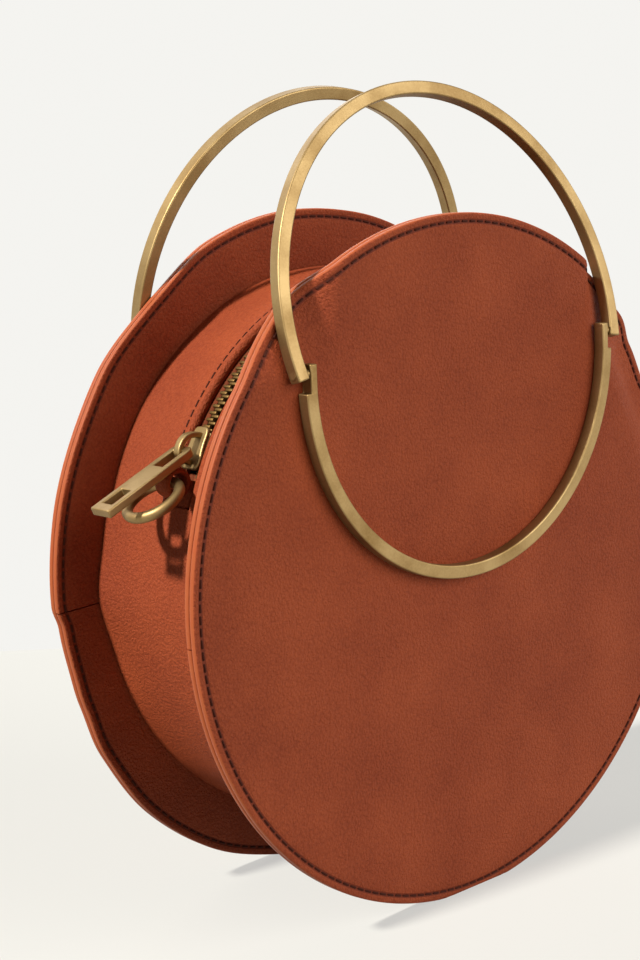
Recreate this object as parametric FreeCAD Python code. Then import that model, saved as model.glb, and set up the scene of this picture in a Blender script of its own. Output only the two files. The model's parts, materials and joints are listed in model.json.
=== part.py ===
import FreeCAD, Part
import math
import os

# A round bag: two stiff leather panels overhang a narrower drum. A zip runs over the top of the drum,
# and each panel carries a brass ring in two halves: the lower half is fixed and the upper half is the handle.
# Millimetres. +X is right seen from the front, +Y goes to the back, +Z is up, and Z = 0 is what it stands on.

# Panels
panel_radius = 105.0
bag_width = 68.0
face_leather = 2.0
facing_leather = 2.0
facing_width = 25.0
rest_flat_depth = 1.2
facing_joint_angle = -93.0
facing_joint_gap = 0.4

# Drum and lining
drum_radius = 88.5
strip_leather = 2.0
lining_cloth = 0.7
ply_gap = 0.1
seam_angle = 72.5

# Zip
zip_offset = -3.5
zip_mouth = 9.0
fold_rise = 1.0
fold_width = 4.5
fold_crown = 1.6
fold_edge_drop = 0.4
tape_cloth = 0.6
tape_lap = 8.0
tape_end_angle = 72.0
tooth_pitch = 2.2
tooth_thickness = 1.0
tooth_height = 2.6
tooth_root = 2.4
tooth_reach = 0.7
tooth_tip = 0.6
tooth_rise = 0.2
teeth_end_angle = 61.4
stop_angle = 66.2
stop_length = 1.2
stop_height = 1.1
stop_width = 1.3
slide_clearance = 0.3

# Slider and pull
slider_angle = 61.0
slider_length = 13.0
slider_throat_width = 8.2
slider_head_width = 6.6
slider_throat_chamfer = 1.0
slider_shoulder = 2.9
slider_waist = 1.0
slider_head_chamfer = 1.3
slider_plate = 1.3
slider_back_plate = 1.2
flange_thickness = 0.6
flange_start = 2.6
flange_end = 5.2
divider_width = 3.0
divider_length = 4.4
divider_setback = 0.6
bail_thickness = 2.6
bail_band = 1.4
bail_corner = 2.2
bail_back = 5.5
bail_front = 4.6
pull_pivot_back = 2.6
pull_pivot_rise = 3.35
pull_bar_radius = 1.1
pull_length = 32.0
pull_width = 8.4
pull_thickness = 2.5
pull_slot_length = 9.0
pull_slot_width = 4.4
pull_window_length = 8.5
pull_window_width = 4.8
pull_window_margin = 3.2
pull_tip_chamfer = 0.7
pull_direction = 204.0

# Strap tabs and rings
tab_angle = 68.3
tab_leather = 1.6
tab_width = 6.4
tab_bore_radius = 2.8
tab_lift = 0.1
tab_neck = 3.6
tab_tail_start_angle = 67.0
strap_ring_radius = 8.1
strap_wire = 3.2
strap_wire_sides = 12
strap_ring_direction = 209.0

# Split brass rings
bar_depth = 4.0
bar_width = 4.0
hinge_height = 64.5
fixed_ring_outer_radius = 64.8
fixed_ring_drop = 3.3
tongue_rise = 2.6
notch_depth = 1.6
notch_drop = 5.5
arch_rise = 12.0
arm_tail = 3.0
arm_side_gap = 0.3
arm_lap_height = 6.0
arm_back_gap = 0.3
front_lean = 14.0
rear_lean = 10.3
dent_lead = 4.0
dent_ease = 6.0
dent_margin = 1.0
dent_outer_width = 20.0
dent_grid = 2.0
pin_radius = 1.25
pin_running_clearance = 0.05
pin_press_clearance = 0.01
pin_proud = 0.15
screw_radius = 1.2
screw_head_radius = 2.5
screw_head_height = 1.2
screw_depth = 2.5
screw_clearance = 0.15
screw_thread_clearance = 0.02
screw_angles = (210.0, 270.0, 330.0)

# What follows from them
Vector = FreeCAD.Vector
along_x = Vector(1, 0, 0)
along_y = Vector(0, 1, 0)
origin = Vector(0, 0, 0)
centre_height = panel_radius - rest_flat_depth
drum_centre = Vector(0, 0, centre_height)
front_face = -bag_width / 2
front_facing = front_face + face_leather
facing_inner_radius = panel_radius - facing_width
front_inside = front_facing + facing_leather
strip_inner_radius = drum_radius - strip_leather
tape_outer_radius = strip_inner_radius - ply_gap
tape_inner_radius = tape_outer_radius - tape_cloth
lining_outer_radius = tape_inner_radius - ply_gap
lining_inner_radius = lining_outer_radius - lining_cloth
tape_middle_radius = (tape_outer_radius + tape_inner_radius) / 2
tooth_inner_radius = tape_middle_radius + tooth_rise - tooth_height / 2
tooth_outer_radius = tooth_inner_radius + tooth_height
hinge_z = centre_height + hinge_height
hinge_y = front_face - arm_back_gap - bar_depth / 2
fixed_ring_z = hinge_z - fixed_ring_drop
tongue_outer = fixed_ring_outer_radius - notch_depth
tongue_inner = fixed_ring_outer_radius - bar_width
shoulder_outer = math.sqrt(fixed_ring_outer_radius ** 2 - (notch_drop - fixed_ring_drop) ** 2)
arch_inner_radius = math.hypot(shoulder_outer + arm_side_gap, arch_rise - notch_drop)
arch_outer_radius = arch_inner_radius + bar_width
arm_outer = math.sqrt(arch_outer_radius ** 2 - arch_rise ** 2)
dent_inner = math.sqrt(facing_inner_radius ** 2 - (hinge_height - dent_lead) ** 2)
margin = 1.0


def turned(shape, angle):
    """The shape, carried round the drum's axis by an angle from the top, positive to the right."""
    return shape.rotated(drum_centre, along_y, angle)


def on_drum(angle, radius):
    """The X and Z of a point at an angle from the top and a distance from the drum's axis."""
    turn = math.radians(angle)
    return radius * math.sin(turn), centre_height + radius * math.cos(turn)


def face_of(points):
    """A flat face with straight sides."""
    return Part.Face(Part.makePolygon(points + points[:1]))


def drum_sector(section, start, end):
    """A section given as (Y, radius) points, swept round the drum from one angle to another."""
    outline = face_of([Vector(0, y, centre_height + radius) for y, radius in section])
    return turned(outline, start).revolve(drum_centre, along_y, end - start)


def band(low_y, high_y, inner, outer, start, end):
    """A plain band of the drum between two radii."""
    section = [(low_y, inner), (high_y, inner), (high_y, outer), (low_y, outer)]
    return drum_sector(section, start, end)


def disc(radius, low_y, high_y):
    """A disc square to Y on the drum's axis."""
    return Part.makeCylinder(radius, high_y - low_y, Vector(0, low_y, centre_height), along_y)


def block(low, high):
    """A box between two corners."""
    size = [b - a for a, b in zip(low, high)]
    return Part.makeBox(*size, Vector(*low))


def rod_along_x(radius, low_x, high_x, y, z):
    """A round rod along X."""
    return Part.makeCylinder(radius, high_x - low_x, Vector(low_x, y, z), along_x)


def rod_along_y(radius, low_y, high_y, x, z):
    """A round rod along Y."""
    return Part.makeCylinder(radius, high_y - low_y, Vector(x, low_y, z), along_y)


def eased(share):
    """A smooth step from 0 to 1."""
    share = min(max(share, 0.0), 1.0)
    return (1 - math.cos(math.pi * share)) / 2


def dent_depth(x, z, lean):
    """How far the overhanging rim gives way inwards under an arm of the handle that leans on it."""
    rise = max(z - hinge_z + dent_lead, 0.0)
    bowed = min(rise, dent_ease)
    deep = math.tan(math.radians(lean)) * (bowed ** 2 / (2 * dent_ease) + rise - bowed)
    track_inner = tongue_outer + arm_side_gap - dent_margin
    track_outer = arch_outer_radius + dent_margin
    before = eased((x - dent_inner) / (track_inner - dent_inner))
    after = eased((track_outer + dent_outer_width - x) / dent_outer_width)
    return deep * before * after


def with_dents(ply, low_y, high_y, lean):
    """A ply of a panel with a smooth dent in its rim under each arm of the handle."""
    dent_low = hinge_z - dent_lead
    dent_high = centre_height + panel_radius + margin
    far = panel_radius + margin
    columns = math.ceil((far - dent_inner) / dent_grid)
    rows = math.ceil((dent_high - dent_low) / dent_grid)
    grid = []
    for column in range(columns + 1):
        x = dent_inner + (far - dent_inner) * column / columns
        heights = [dent_low + (dent_high - dent_low) * row / rows for row in range(rows + 1)]
        grid.append([Vector(x, low_y + dent_depth(x, z, lean), z) for z in heights])
    surface = Part.BSplineSurface()
    surface.interpolate(grid)
    dent = surface.toShape().extrude(Vector(0, high_y - low_y, 0))
    window = block((dent_inner, -bag_width, dent_low), (far + margin, bag_width, dent_high + margin))
    rim = disc(panel_radius, low_y - bag_width / 4, high_y + bag_width / 4)
    dent = dent.common(rim)
    for cutter, filler in ((window, dent), (window.mirror(origin, along_x), dent.mirror(origin, along_x))):
        ply = ply.cut(cutter).fuse(filler)
    return ply.removeSplitter()


def standing(ply):
    """A ply with the small flat that the rim settles to where it stands."""
    below = block((-panel_radius, -bag_width, -panel_radius), (panel_radius, bag_width, 0))
    return ply.cut(below)


def screw_places():
    """The X and Z of the screws that hold the fixed half ring, on the middle of its bar."""
    radius = fixed_ring_outer_radius - bar_width / 2
    for angle in screw_angles:
        turn = math.radians(angle)
        yield radius * math.cos(turn), fixed_ring_z + radius * math.sin(turn)


def screw_rods(radius, low_y, high_y):
    """A rod at each screw's place."""
    return [rod_along_y(radius, low_y, high_y, x, z) for x, z in screw_places()]


def make_front_panel(lean):
    """The face leather, the facing round its rim, and the board and lining inside that."""
    face = disc(panel_radius, front_face, front_facing)
    face = standing(with_dents(face, front_face, front_facing, lean))
    facing = disc(panel_radius, front_facing, front_inside)
    facing = standing(with_dents(facing, front_facing, front_inside, lean))
    facing = facing.cut(disc(facing_inner_radius, front_facing, front_inside))
    half_gap = facing_joint_gap / 2
    joint_low = (-half_gap, front_facing - margin, centre_height + facing_inner_radius - margin)
    joint_high = (half_gap, front_inside + margin, centre_height + panel_radius + margin)
    facing = facing.cut(turned(block(joint_low, joint_high), facing_joint_angle))
    board = disc(facing_inner_radius - screw_clearance, front_facing, front_inside)
    lining = disc(lining_inner_radius - ply_gap, front_inside, front_inside + lining_cloth).cut(facing)
    head_floor = front_inside - screw_head_height - screw_clearance
    for rod in screw_rods(screw_radius + screw_clearance, front_face - margin, front_inside + margin):
        face = face.cut(rod)
        board = board.cut(rod)
    for rod in screw_rods(screw_head_radius + screw_clearance, head_floor, front_inside + margin):
        board = board.cut(rod)
    return face, facing, board, lining


def make_front_screws():
    """Flat-headed screws, sunk in the board, that pull the fixed half ring against the leather."""
    under_head = front_inside - screw_clearance - screw_head_height
    heads = screw_rods(screw_head_radius, under_head, under_head + screw_head_height)
    shanks = screw_rods(screw_radius, front_face - screw_depth, under_head)
    return Part.makeCompound([head.fuse(shank) for head, shank in zip(heads, shanks)])


def bar_section(at, across):
    """The outline of the square brass bar: its width along one vector and its depth along Y."""
    half_width = across * (bar_width / 2)
    half_depth = along_y * (bar_depth / 2)
    points = [
        at + half_width + half_depth, at - half_width + half_depth,
        at - half_width - half_depth, at + half_width - half_depth,
    ]
    return Part.makePolygon(points + points[:1])


def make_fixed_half_ring():
    """The lower half of the front ring, flat on the panel, notched at each end for an arm of the handle."""
    radius = fixed_ring_outer_radius - bar_width / 2
    y = front_face - bar_depth / 2
    left_top = Vector(-radius, y, hinge_z + tongue_rise)
    left = Vector(-radius, y, fixed_ring_z)
    bottom = Vector(0, y, fixed_ring_z - radius)
    right = Vector(radius, y, fixed_ring_z)
    right_top = Vector(radius, y, hinge_z + tongue_rise)
    path = Part.Wire([
        Part.LineSegment(left_top, left).toShape(),
        Part.Arc(left, bottom, right).toShape(),
        Part.LineSegment(right, right_top).toShape(),
    ])
    ring = path.makePipeShell([bar_section(left_top, along_x)], True, False)
    notch_low = (tongue_outer, front_face - bar_depth - margin, hinge_z - notch_drop)
    notch_high = (fixed_ring_outer_radius + margin, front_face + margin, hinge_z + tongue_rise + margin)
    notch = block(notch_low, notch_high)
    hole = rod_along_x(pin_radius + pin_press_clearance, tongue_inner - margin, arm_outer, hinge_y, hinge_z)
    for cutter in (notch, hole):
        ring = ring.cut(cutter).cut(cutter.mirror(origin, along_x))
    thread_radius = screw_radius + screw_thread_clearance
    for rod in screw_rods(thread_radius, front_face - screw_depth, front_face + margin):
        ring = ring.cut(rod)
    return ring


def make_handle_arch(lean):
    """The upper half of the front ring, hinged at both ends and leaning in over the bag."""
    radius = arch_outer_radius - bar_width / 2
    middle = Vector(0, hinge_y, hinge_z + arch_rise)
    end_angle = -math.asin((arch_rise + arm_tail) / radius)
    outward = Vector(math.cos(end_angle), 0, math.sin(end_angle))
    right = middle + outward * radius
    left = Vector(-right.x, right.y, right.z)
    path = Part.Wire([Part.Arc(right, middle + Vector(0, 0, radius), left).toShape()])
    arch = path.makePipeShell([bar_section(right, outward)], True, False)
    below_low = (-arch_outer_radius, hinge_y - bar_depth, hinge_z - arch_rise)
    below = block(below_low, (arch_outer_radius, hinge_y + bar_depth, hinge_z))
    round_end = rod_along_x(bar_depth / 2, -arch_outer_radius, arch_outer_radius, hinge_y, hinge_z)
    arch = arch.cut(below.cut(round_end))
    lap_low = (0, hinge_y - bar_depth, hinge_z - arch_rise)
    lap_high = (tongue_outer + arm_side_gap, hinge_y + bar_depth, hinge_z + arm_lap_height)
    lap = block(lap_low, lap_high)
    reach = arch_outer_radius + margin
    hole = rod_along_x(pin_radius + pin_running_clearance, 0, reach, hinge_y, hinge_z)
    for cutter in (lap, hole):
        arch = arch.cut(cutter).cut(cutter.mirror(origin, along_x))
    return arch.rotated(Vector(0, hinge_y, hinge_z), along_x, -lean)


def make_hinge_pins():
    """The two pins of the front ring, riveted in the notched ends."""
    pin = rod_along_x(pin_radius, tongue_inner - pin_proud, arm_outer + pin_proud, hinge_y, hinge_z)
    return Part.makeCompound([pin, pin.mirror(origin, along_x)])


def make_drum(facings):
    """The band below the zip, the strips in front of and behind it, and the cloth that lines them."""
    lower = band(front_inside, -front_inside, tape_inner_radius, drum_radius, seam_angle, 360 - seam_angle)
    strips = []
    for edge, side in ((zip_offset - zip_mouth / 2, -1), (zip_offset + zip_mouth / 2, 1)):
        top = drum_radius + fold_rise
        section = [
            (edge, strip_inner_radius), (side * -front_inside, strip_inner_radius),
            (side * -front_inside, drum_radius), (edge + side * fold_width, drum_radius),
            (edge + side * (fold_width + fold_crown) / 2, top - fold_rise / 4),
            (edge + side * fold_crown, top), (edge + side * fold_crown / 4, top - fold_rise / 2),
            (edge, drum_radius - fold_edge_drop),
        ]
        strips.append(drum_sector(section, -seam_angle, seam_angle))
    half_slot = zip_mouth / 2 + margin
    lining = band(front_inside, -front_inside, lining_inner_radius, lining_outer_radius, 0, 360)
    slot_low = lining_inner_radius - margin
    slot_high = lining_outer_radius + margin
    slot = band(zip_offset - half_slot, zip_offset + half_slot, slot_low, slot_high, -stop_angle, stop_angle)
    drum = [lower] + strips
    for facing in facings:
        drum = [piece.cut(facing) for piece in drum]
    return drum + [lining.cut(slot)]


def make_tape(side):
    """The cloth tape on one side of the zip, from the roots of its teeth to under the leather strip."""
    near = zip_offset + side * tooth_root
    far = zip_offset + side * (zip_mouth / 2 + tape_lap)
    low_y, high_y = sorted((near, far))
    return band(low_y, high_y, tape_inner_radius, tape_outer_radius, -tape_end_angle, tape_end_angle)


def make_teeth(side):
    """One row of teeth. The other row stands half a pitch along, so the two interlock at the middle."""
    half = tooth_thickness / 2
    tip_half = tooth_tip / 2
    root = zip_offset + side * tooth_root
    neck = zip_offset
    tip = zip_offset - side * tooth_reach
    outline = [(-half, root), (-half, neck), (-tip_half, tip), (tip_half, tip), (half, neck), (half, root)]
    base = face_of([Vector(x, y, centre_height + tooth_inner_radius) for x, y in outline])
    tooth = base.extrude(Vector(0, 0, tooth_height))
    step = math.degrees(tooth_pitch / tape_middle_radius)
    count = int(2 * teeth_end_angle / step)
    first = -teeth_end_angle + (step / 2 if side > 0 else 0)
    return Part.makeCompound([turned(tooth, first + step * index) for index in range(count)])


def make_stops():
    """The stops: one on each tape where the zip closes, and a clip over both where it is joined for good."""
    half = stop_length / 2
    low_z = centre_height + tape_outer_radius + ply_gap
    high_z = low_z + stop_height
    inner = tooth_root + ply_gap
    reach = inner + stop_width
    stops = []
    for side in (-1, 1):
        low_y, high_y = sorted((zip_offset + side * inner, zip_offset + side * reach))
        stops.append(turned(block((-half, low_y, low_z), (half, high_y, high_z)), -stop_angle))
    clip = turned(block((-half, zip_offset - reach, low_z), (half, zip_offset + reach, high_z)), stop_angle)
    return Part.makeCompound(stops), clip


def slider_outline(height):
    """The plan of the slider's plates at a height on the drum: wide at the throats, narrower at the head."""
    half_length = slider_length / 2
    throat = slider_throat_width / 2
    head = slider_head_width / 2
    half_plan = [
        (-half_length, throat - slider_throat_chamfer), (-half_length + slider_throat_chamfer, throat),
        (-slider_shoulder, throat), (slider_waist, head),
        (half_length - slider_head_chamfer, head), (half_length, head - slider_head_chamfer),
    ]
    plan = half_plan + [(x, -y) for x, y in reversed(half_plan)]
    return face_of([Vector(x, zip_offset + y, centre_height + height) for x, y in plan])


def make_slider():
    """The slider: two plates joined by the divider, with turned-in flanges and a bail on top."""
    plate_low = tooth_outer_radius + slide_clearance
    plate_top = plate_low + slider_plate
    rise_at_ends = (slider_length / 2) ** 2 / (2 * tape_inner_radius)
    back_top = tooth_inner_radius - slide_clearance - rise_at_ends
    back_low = back_top - slider_back_plate
    slider = slider_outline(plate_low).extrude(Vector(0, 0, slider_plate))
    slider = slider.fuse(slider_outline(back_low).extrude(Vector(0, 0, slider_back_plate)))
    flange_inner = tooth_root + slide_clearance
    flange_outer = flange_inner + flange_thickness
    for side in (-1, 1):
        low_y, high_y = sorted((zip_offset + side * flange_inner, zip_offset + side * flange_outer))
        low_z = centre_height + strip_inner_radius + slide_clearance
        flange_top = centre_height + plate_low
        slider = slider.fuse(block((-flange_start, low_y, low_z), (flange_end, high_y, flange_top)))
        high_z = centre_height + tape_inner_radius - slide_clearance - rise_at_ends
        back_z = centre_height + back_top
        slider = slider.fuse(block((-flange_start, low_y, back_z), (flange_end, high_y, high_z)))
    divider_end = -slider_length / 2 + divider_setback
    wedge = [
        Vector(divider_end, zip_offset - divider_width / 2, centre_height + back_top),
        Vector(divider_end, zip_offset + divider_width / 2, centre_height + back_top),
        Vector(divider_end + divider_length, zip_offset, centre_height + back_top),
    ]
    slider = slider.fuse(face_of(wedge).extrude(Vector(0, 0, plate_low - back_top)))
    pivot_rise = plate_top + pull_pivot_rise
    bail_top = pivot_rise + pull_bar_radius + slide_clearance + bail_band
    outer = block(
        (-bail_back, zip_offset - bail_thickness / 2, centre_height + plate_low),
        (bail_front, zip_offset + bail_thickness / 2, centre_height + bail_top),
    )
    inner = block(
        (-bail_back + bail_band, zip_offset - bail_thickness, centre_height + plate_top),
        (bail_front - bail_band, zip_offset + bail_thickness, centre_height + bail_top - bail_band),
    )
    above = [edge for edge in outer.Edges if edge.BoundBox.ZMin > centre_height + plate_top]
    shoulders = [edge for edge in above if abs(edge.BoundBox.YLength - bail_thickness) < 0.01]
    bail = outer.makeFillet(bail_corner, shoulders).cut(inner)
    return turned(slider.fuse(bail).removeSplitter(), -slider_angle), pivot_rise


def make_pull(pivot_rise):
    """The pull: a round bar under the bail, two rails beside a slot, and a flat bar with a window."""
    half_width = pull_width / 2
    half_thick = pull_thickness / 2
    body = block((0, -half_width, -half_thick), (pull_length, half_width, half_thick))
    end = [edge for edge in body.Edges if edge.BoundBox.XMin > pull_length - 0.01]
    tip = [edge for edge in end if edge.BoundBox.YLength > half_width]
    body = body.makeChamfer(pull_tip_chamfer, tip)
    half_slot = pull_slot_width / 2
    slot = block((-margin, -half_slot, -pull_thickness), (pull_slot_length, half_slot, pull_thickness))
    window_end = pull_length - pull_window_margin
    window_start = window_end - pull_window_length
    half_window = pull_window_width / 2
    window = block((window_start, -half_window, -pull_thickness), (window_end, half_window, pull_thickness))
    bar = Part.makeCylinder(pull_bar_radius, pull_width, Vector(0, -half_width, 0), along_y)
    pull = body.cut(slot).cut(window).fuse(bar)
    pivot = Vector(-pull_pivot_back, zip_offset, centre_height + pivot_rise)
    pivot = Part.Vertex(pivot).rotated(drum_centre, along_y, -slider_angle).Point
    return pull.rotated(origin, along_y, -pull_direction).translated(pivot), pivot


def make_left_strap_point():
    """The leather tab that closes the zip's left end, and the round ring in its loop."""
    outer_radius = tab_bore_radius + tab_leather
    loop_radius = drum_radius + tab_lift + outer_radius
    low_y = zip_offset - tab_width / 2
    high_y = zip_offset + tab_width / 2
    x, z = on_drum(-tab_angle, loop_radius)
    loop = rod_along_y(outer_radius, low_y, high_y, x, z)
    neck_low = (-tab_neck / 2, low_y, centre_height + strip_inner_radius)
    neck = block(neck_low, (tab_neck / 2, high_y, centre_height + loop_radius))
    tail = band(low_y, high_y, strip_inner_radius, drum_radius, -seam_angle, -tab_tail_start_angle)
    bore = rod_along_y(tab_bore_radius, low_y - margin, high_y + margin, x, z)
    tab = loop.fuse(turned(neck, -tab_angle)).fuse(tail).cut(bore).removeSplitter()
    turn = math.radians(strap_ring_direction)
    hang = Vector(math.cos(turn), 0, math.sin(turn))
    across = Vector(-hang.z, 0, hang.x)
    middle = Vector(x, zip_offset, z) + hang * strap_ring_radius
    section = []
    for index in range(strap_wire_sides):
        turn = 2 * math.pi * index / strap_wire_sides
        radius = strap_ring_radius + strap_wire / 2 * math.cos(turn)
        section.append(middle + hang * radius + across * (strap_wire / 2 * math.sin(turn)))
    ring = face_of(section).revolve(middle, across, 360)
    return tab, ring


def build():
    """Every piece by name."""
    pieces = {}
    for side, lean in (("front_", front_lean), ("rear_", rear_lean)):
        face, facing, board, lining = make_front_panel(lean)
        made = {
            "face_leather": face,
            "rim_facing": facing,
            "stiffener_board": board,
            "panel_lining": lining,
            "fixed_half_ring": make_fixed_half_ring(),
            "handle_arch": make_handle_arch(lean),
            "hinge_pins": make_hinge_pins(),
            "ring_screws": make_front_screws(),
        }
        for name, shape in made.items():
            pieces[side + name] = shape if side == "front_" else shape.mirror(origin, along_y)
    facings = (pieces["front_rim_facing"], pieces["rear_rim_facing"])
    drum_names = ("gusset_band", "zip_strip_front", "zip_strip_rear", "band_lining")
    pieces.update(zip(drum_names, make_drum(facings)))
    for name, side in (("front", -1), ("rear", 1)):
        pieces["zip_tape_" + name] = make_tape(side)
        pieces["zip_teeth_" + name] = make_teeth(side)
    pieces["zip_closing_stops"], pieces["zip_end_clip"] = make_stops()
    pieces["zip_slider"], pivot_rise = make_slider()
    pieces["zip_pull"], pivot = make_pull(pivot_rise)
    tab, ring = make_left_strap_point()
    for name, shape in (("strap_tab", tab), ("strap_ring", ring)):
        pieces[name + "_left"] = shape
        pieces[name + "_right"] = shape.mirror(origin, along_x)
    print("pull pivot", [round(value, 3) for value in pivot])
    return pieces


os.makedirs("parts", exist_ok=True)
for name, shape in build().items():
    shape.exportStep("parts/" + name + ".step")
    print(name, len(shape.Solids), round(shape.Volume, 1), shape.isValid())
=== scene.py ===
"""A round leather bag with hinged ring handles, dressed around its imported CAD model."""
import json
import math

import bpy
from mathutils import Matrix, Vector


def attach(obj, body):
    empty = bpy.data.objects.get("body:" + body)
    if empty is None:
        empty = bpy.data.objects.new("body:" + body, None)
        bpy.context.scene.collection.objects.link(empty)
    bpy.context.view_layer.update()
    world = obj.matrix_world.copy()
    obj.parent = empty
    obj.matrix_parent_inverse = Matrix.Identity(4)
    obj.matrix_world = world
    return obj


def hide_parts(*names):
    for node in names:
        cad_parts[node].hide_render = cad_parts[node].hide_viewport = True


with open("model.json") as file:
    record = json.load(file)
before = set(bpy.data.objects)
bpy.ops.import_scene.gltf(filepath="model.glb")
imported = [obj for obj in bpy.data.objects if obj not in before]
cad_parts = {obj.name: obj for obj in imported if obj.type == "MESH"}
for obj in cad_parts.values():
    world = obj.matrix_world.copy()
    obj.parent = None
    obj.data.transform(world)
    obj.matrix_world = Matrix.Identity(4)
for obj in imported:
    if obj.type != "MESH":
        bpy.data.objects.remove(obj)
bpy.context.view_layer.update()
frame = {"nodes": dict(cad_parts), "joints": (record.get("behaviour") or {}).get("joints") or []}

bl_info = {
    "name": "Round Leather Bag",
    "version": (1, 0, 0),
    "blender": (4, 5, 0),
    "location": "View3D > Sidebar > Bag",
    "description": "Builds a round leather bag with a zipped drum and hinged brass ring handles",
    "category": "Add Mesh",
}

FRAME_WIDTH = 640
MM = 0.001
FULL_TURN = 2 * math.pi
ALONG_X = Vector((1, 0, 0))
ALONG_Y = Vector((0, 1, 0))
WELD = 0.002 * MM

# Plies and thread
LINING_CLOTH = 0.7 * MM
FACING_JOINT = math.radians(-93)
FACING_JOINT_HALF = math.radians(0.11)
THREAD_RADIUS = 0.34 * MM
STITCH_SHARE = 0.74
STITCH_SLANT = math.radians(5)
STITCH_ROUNDING = 0.22 * MM
# Half the width of the painted shade along the stitch groove
GROOVE_SHADE_HALF = 0.4 * MM
EDGE_PAINT_DEPTH = 0.4 * MM

# Where a panel's rim starts to come out of true, and the width over which it does
RIM_START = 84 * MM
RIM_EASE = 16 * MM

# How far each rim is out of true: degrees from the top, then millimetres grown and millimetres bent inwards
FRONT_RIM = (
    (-180, 0, 0), (38, 0, 0), (48, -0.8, 2.0), (56, -2.0, 5.0), (63, -2.2, 5.5), (71, -1.5, 3.8),
    (80, -0.6, 1.5), (94, 0, 0), (180, 0, 0),
)
REAR_RIM = (
    (-180, 0.4, 0), (-165, 1.5, 0), (-150, 2.5, 0), (-135, 2.4, 0), (-120, 1.2, 0), (-110, -0.3, 0),
    (-103, -0.8, 0), (-96, -0.6, 0), (-92, 0.9, 0), (-78, 0.6, 0), (-62, 0.1, 0), (-45, 1.0, 0),
    (-30, 2.1, 0), (-10, 2.3, 0), (10, 1.6, 0), (40, 0.3, 0), (60, 0, 0), (150, 0, 0), (180, 0.4, 0),
)


def linear(code):
    """The linear colour of an sRGB hex code."""
    channels = [int(code[place:place + 2], 16) / 255 for place in (0, 2, 4)]
    return [c / 12.92 if c <= 0.04045 else ((c + 0.055) / 1.055) ** 2.4 for c in channels]


def length(name, description, millimetres):
    """A length property with its default in millimetres."""
    return bpy.props.FloatProperty(
        name=name, description=description, default=millimetres * MM, unit="LENGTH", precision=4)


def angle(name, description, degrees):
    """An angle property with its default in degrees."""
    return bpy.props.FloatProperty(
        name=name, description=description, default=math.radians(degrees), subtype="ANGLE")


def colour(name, description, code):
    """A colour property with its default as an sRGB hex code."""
    return bpy.props.FloatVectorProperty(
        name=name, description=description, default=linear(code), subtype="COLOR", size=3, min=0, max=1)


def level(name, description, default):
    """A plain number property, such as a lamp's strength."""
    return bpy.props.FloatProperty(name=name, description=description, default=default)


class BagSizes(bpy.types.PropertyGroup):
    """The sizes that the leather, zip and metal share with the CAD model."""

    centre_height: length("Centre height", "Height of the drum's axis above the floor", 103.8)
    panel_radius: length("Panel radius", "Radius of the two round panels", 105.0)
    bag_width: length("Bag width", "Distance between the outer faces of the panels", 68.0)
    ply: length("Ply", "Thickness of the face leather and of the rim facing", 2.0)
    facing_inner: length("Facing hole", "Inner radius of the rim facing", 80.0)
    drum_radius: length("Drum radius", "Radius of the drum between the panels", 88.5)
    dent_start: length("Dent start", "How far below the pins the dents under the handle's arms start", 4.0)
    dent_ease: length("Dent ease", "Height over which the dents curve in", 6.0)
    front_dent_left: length("Front dent, left", "How far from the middle the left front dent starts", 47.0)
    front_dent_right: length("Front dent, right", "How far from the middle the right front dent starts", 57.5)
    rear_dent: length("Rear dent", "How far from the middle the rear dents start", 40.0)
    dent_outer: length("Dent, outer side", "Distance of the dents' outer sides from the middle", 100.0)
    arm_inner: length("Arm, inner side", "Distance of the arms' inner sides from the middle", 64.0)
    arm_outer: length("Arm, outer side", "Distance of the arms' outer sides from the middle", 74.0)
    seam: angle("Band seam", "Angle from the top at which the lower band meets the zip strips", 72.5)
    zip_offset: length("Zip offset", "How far the zip lies behind the middle, negative in front of it", -3.5)
    zip_mouth: length("Zip mouth", "Distance between the folded edges beside the zip", 9.0)
    tooth_pitch: length("Tooth pitch", "Distance between the teeth of one row", 2.2)
    teeth_end: angle("Teeth end", "Angle from the top at which the teeth end", 61.4)
    slider_place: angle("Slider place", "Angle of the slider from the top", 61.0)
    tab_place: angle("Tab place", "Angle of the strap tabs from the top", 68.3)
    strap_ring: length("Strap ring", "Radius of the strap ring to the middle of its wire", 8.1)
    strap_wire: length("Strap wire", "Diameter of the strap ring's wire", 3.2)
    strap_hang: angle("Strap ring droop", "Angle of the strap rings below the horizontal", 29.0)
    bar: length("Ring bar", "Width and depth of the square brass bar", 4.0)
    hinge_height: length("Hinge height", "Height of the hinge pins above the drum's axis", 64.5)
    half_ring: length("Half ring", "Outer radius of the fixed half ring", 64.8)
    half_ring_drop: length("Half ring drop", "How far the half ring's centre lies below the pins", 3.3)
    notch_drop: length("Notch drop", "How far below the pins the notch of the half ring starts", 5.5)
    arch_rise: length("Arch rise", "Height of the handle arch's centre above the pins", 12.0)
    arch: length("Arch", "Outer radius of the handle arch", 69.39)
    front_lean: angle("Front lean", "How far the front handle leans in", 14.0)
    rear_lean: angle("Rear lean", "How far the rear handle leans in", 10.3)
    stitch_pitch: length("Stitch pitch", "Distance from stitch to stitch", 3.3)
    stitch_inset: length("Stitch inset", "Distance of the stitches from the rim", 2.6)


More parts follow.
